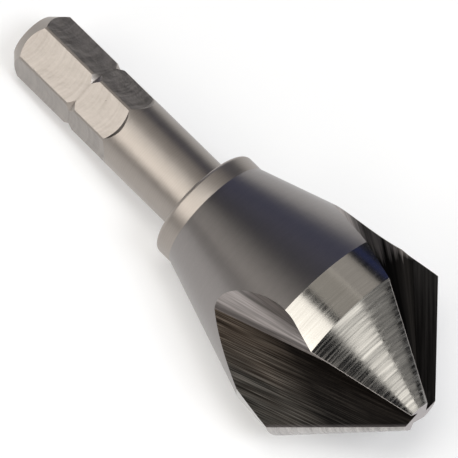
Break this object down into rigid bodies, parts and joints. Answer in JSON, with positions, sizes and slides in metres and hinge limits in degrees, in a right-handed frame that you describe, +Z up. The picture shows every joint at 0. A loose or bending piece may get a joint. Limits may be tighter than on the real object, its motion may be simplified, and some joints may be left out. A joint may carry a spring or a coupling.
{
  "type": "countersink bit",
  "caption": "Countersink bit with a conical fluted cutting head, a collar, a round neck and a hexagon shank with a detent notch, for cutting bevels round drilled holes.",
  "frame": {"origin": "on the floor, below the middle of the bit's bounding box as it lies at rest", "axes": "+Z up; +X is the level direction from the shank end to the cutting tip, and the bit's own axis rises from it by about 8.6 degrees towards the tip"},
  "size_m": [0.0504, 0.0206, 0.0199],
  "materials": {
    "steel": "bare ground and milled tool steel"
  },
  "bodies": {
    "root": {"countersink_bit": "steel"}
  },
  "joints": []
}
